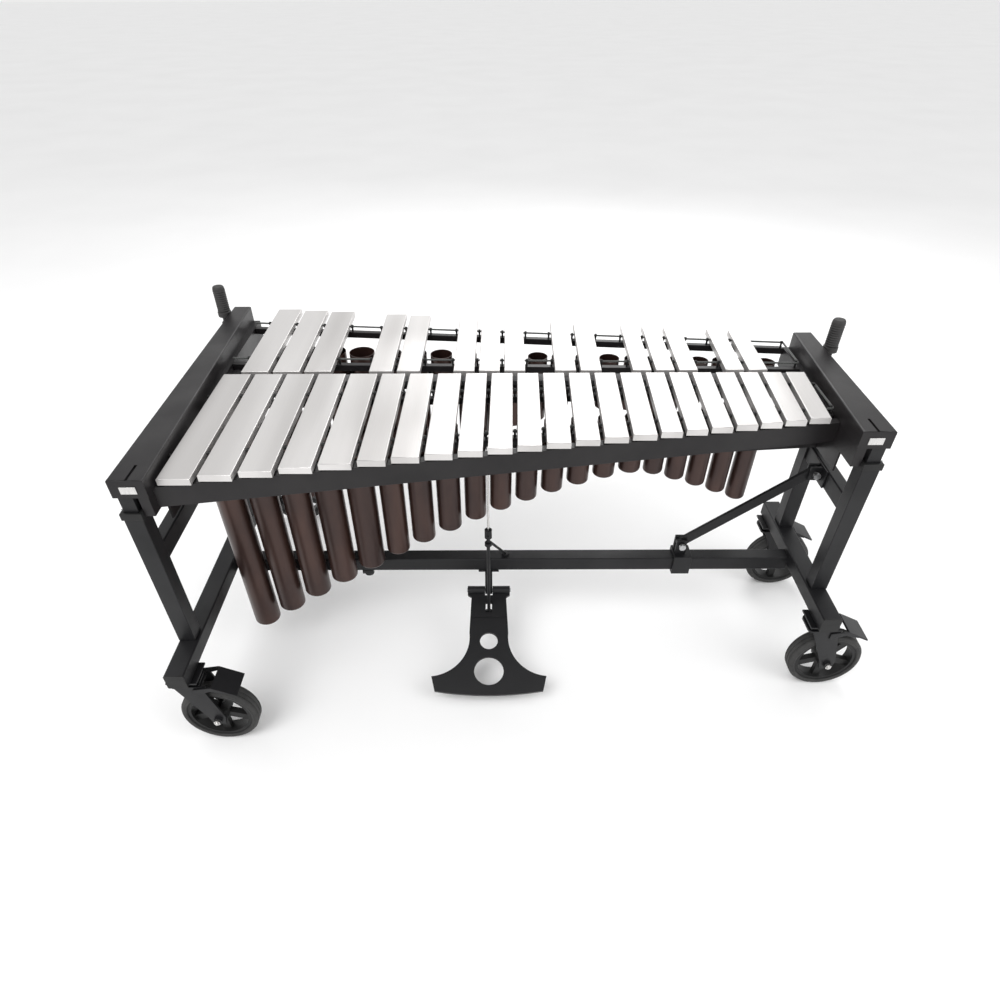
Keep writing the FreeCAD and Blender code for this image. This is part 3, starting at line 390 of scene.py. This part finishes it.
def tyre_profile(radius, half):
    """From the rim up one flank, across the tread and down the other flank."""
    rim = radius - TYRE_WALL
    flank = [(rim, half - 2.5 * MM), (rim + 1.5 * MM, half - 0.4 * MM), (rim + 4 * MM, half),
             (rim + 5 * MM, half - 1.2 * MM), (radius - 6 * MM, half - 1.0 * MM),
             (radius - 3 * MM, half - 2.6 * MM), (radius - 1 * MM, half - 5.2 * MM),
             (radius - 0.2 * MM, half - 8.5 * MM)]
    tread = []
    for place in GROOVE_PLACES:
        middle = place * 2 * half * TREAD_SHARE
        for step, depth in ((1.6, 0), (0.9, 1), (-0.9, 1), (-1.6, 0)):
            tread.append((radius - depth * GROOVE, middle + step * MM))
    mirrored = [(r, -along) for r, along in reversed(flank)]
    return flank + tread + mirrored


AXLE = Vector((0, 1, 0))
casters = [node[len("caster_tyre_"):] for node in nodes if node.startswith("caster_tyre_")]
for place in casters:
    low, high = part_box("caster_tyre_" + place)
    middle = (low + high) / 2
    shape = bmesh.new()
    profile = tyre_profile((high.z - low.z) / 2, (high.y - low.y) / 2)
    lathe(shape, profile, middle, AXLE, TYRE_STEPS, ring=True)
    tyre = turned_piece(shape, "tyre_" + place, "wheel_" + place, "tyre", ("caster_tyre_" + place,))
print(len(casters), "tyres of", len(tyre.data.polygons), "faces")

# %% [markdown]
# ## Axle nuts
# A bright hexagon nut on a bolt end closes each side of a caster's axle. A six-sided cone operator makes
# the nut, its edges are bevelled, and a short domed stud stands through it.

# %% Axle nuts
NUT_R = 7.4 * MM
NUT_HIGH = 4.5 * MM
STUD = ((0, 8.0), (2.6, 7.8), (3.6, 7.0), (4.0, 6.2), (4.0, 1.0), (0, 1.0))   # radius and height, in mm
for place in casters:
    low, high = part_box("caster_tyre_" + place)
    fork_low, fork_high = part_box("caster_fork_" + place)
    axle = (low + high) / 2
    shape = bmesh.new()
    for outward, flank in ((-1, fork_low.y), (1, fork_high.y)):
        seat = Vector((axle.x, flank, axle.z))
        upright = Matrix.Rotation(-outward * math.pi / 2, 4, "X")
        middle = Matrix.Translation(seat + AXLE * outward * NUT_HIGH / 2)
        made = bmesh.ops.create_cone(shape, cap_ends=True, segments=6, radius1=NUT_R, radius2=NUT_R,
                                     depth=NUT_HIGH, matrix=middle @ upright)
        edges = list(dict.fromkeys(edge for corner in made["verts"] for edge in corner.link_edges))
        bmesh.ops.bevel(shape, geom=edges, offset=0.5 * MM, segments=2, profile=0.5, affect="EDGES",
                        material=-1)
        lathe(shape, [(radius * MM, height * MM) for radius, height in STUD], seat, AXLE * outward, 24)
    turned_piece(shape, "axle_nuts_" + place, "caster_" + place, "bright_metal")
print(2 * len(casters), "axle nuts")

# %% [markdown]
# ## Handle grips
# A soft rubber grip covers each handle at the rear corners. It has moulded rings to keep the hand from
# slipping, a top with a round rim and a narrow waist above a hard collar, all in one profile.

# %% Handle grips
RIB_PITCH = 5.0 * MM
RIB_HIGH = 0.7 * MM
COLLAR = 12 * MM         # height of the hard collar at the foot
TOP = 9 * MM             # height of the plain top above the ribs
TOP_ROUND = 4 * MM       # round of the top's rim
TOP_STEPS = 6


def side_box(node, side):
    """Lowest and highest corner of the part of a node on one side of the middle."""
    corners = [v.co for v in nodes[node].data.vertices if v.co.x * side > 0]
    low = Vector(min(c[i] for c in corners) for i in range(3))
    high = Vector(max(c[i] for c in corners) for i in range(3))
    return low, high


def grip_profile(radius, length):
    """A collar at the foot, ribs up the shaft and a top with a round rim; zero is the foot."""
    points = [(0, 0), (radius - 0.8 * MM, 0), (radius, 0.8 * MM), (radius, COLLAR - 0.8 * MM),
              (radius - 0.8 * MM, COLLAR), (radius - 3 * MM, COLLAR + 1 * MM)]
    shaft = radius - 1.6 * MM
    for k in range(int((length - COLLAR - TOP) / RIB_PITCH)):
        foot = COLLAR + 2 * MM + k * RIB_PITCH
        points += [(shaft - RIB_HIGH, foot), (shaft, foot + 0.8 * MM),
                   (shaft + RIB_HIGH * 0.6, foot + 1.9 * MM), (shaft, foot + 3.0 * MM),
                   (shaft - RIB_HIGH, foot + 3.8 * MM)]
    start = points[-1][1]
    for k in range(TOP_STEPS):
        turn = k / TOP_STEPS * math.pi / 2
        points.append((shaft - TOP_ROUND + TOP_ROUND * math.cos(turn),
                       start + (length - start) * math.sin(turn)))
    points.append((0, length))
    return points


UP = Vector((0, 0, 1))
for name, side in (("bass", -1), ("treble", 1)):
    low, high = side_box("handle_grips", side)
    foot = Vector(((low.x + high.x) / 2, (low.y + high.y) / 2, low.z))
    shape = bmesh.new()
    lathe(shape, grip_profile((high.x - low.x) / 2, high.z - low.z), foot, UP, 64)
    replaced = ("handle_grips",) if side < 0 else ()
    turned_piece(shape, "grip_" + name, "keyboard", "grip_rubber", replaced)
print("two ribbed grips")

# %% [markdown]
# ## Studio
# A wide pale floor fills the picture up to the horizon. One large soft light stands high at the front left,
# a weaker one fills from the right and a third lights the rear edges. The camera looks down on the bars
# from the player's side, with a wide lens close to the instrument.

# %% Floor, lights and camera
FLOOR_HALF = 40.0
shape = bmesh.new()
bmesh.ops.create_grid(shape, x_segments=8, y_segments=8, size=FLOOR_HALF)
floor_mesh = bpy.data.meshes.new("studio_floor")
shape.to_mesh(floor_mesh)
shape.free()
floor = bpy.data.objects.new("studio_floor", floor_mesh)
bpy.context.scene.collection.objects.link(floor)
floor_finish, tree, shader, coords = new_finish("pale_floor", (0.93, 0.93, 0.93), 0.0, 0.8)
mottle = speckle(tree, coords, (1.5, 1.5, 1.5), 3)
tree.links.new(two_colours(tree, mottle, (0.92, 0.92, 0.92), (0.95, 0.95, 0.95)), shader.inputs["Base Color"])
floor_mesh.materials.append(floor_finish)

world = bpy.data.worlds.new("studio")
world.use_nodes = True
world.node_tree.nodes["Background"].inputs["Color"].default_value = (1, 1, 1, 1)
world.node_tree.nodes["Background"].inputs["Strength"].default_value = 0.85
bpy.context.scene.world = world
bpy.context.scene.view_settings.view_transform = "Standard"


def soft_light(name, place, size, power):
    """A round lamp of that size in metres and power in watts, turned to the middle of the bars."""
    light = bpy.data.lights.new(name, "AREA")
    light.shape = "DISK"
    light.size = size
    light.energy = power
    lamp = bpy.data.objects.new(name, light)
    lamp.location = place
    lamp.rotation_euler = (AIM - Vector(place)).to_track_quat("-Z", "Y").to_euler()
    bpy.context.scene.collection.objects.link(lamp)


AIM = Vector((0, 0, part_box("natural_bars")[1].z))
soft_light("key", (-1.8, -2.2, 3.2), 2.6, 70)
soft_light("fill", (2.6, -1.6, 2.2), 2.4, 30)
soft_light("rear", (0.6, 2.8, 2.6), 2.4, 45)

camera_data = bpy.data.cameras.new("front_camera")
camera_data.lens = 24.34
camera_data.sensor_width = 36.0
camera_data.shift_x = 0.0095
camera_data.shift_y = 0.07
camera_data.clip_start = 0.01
camera = bpy.data.objects.new("front_camera", camera_data)
camera.location = (-0.0813, -1.2826, 1.2689)
camera.rotation_euler = (math.radians(48.087), math.radians(0.231), math.radians(-0.019))
bpy.context.scene.collection.objects.link(camera)
bpy.context.scene.camera = camera
print("studio ready, bars at", round(AIM.z, 3), "m")

# %% [markdown]
# ## Bringing the scene up to date
# The view layer is updated so each finished piece sits where its body holds it.

# %% Update the view layer
bpy.context.view_layer.update()
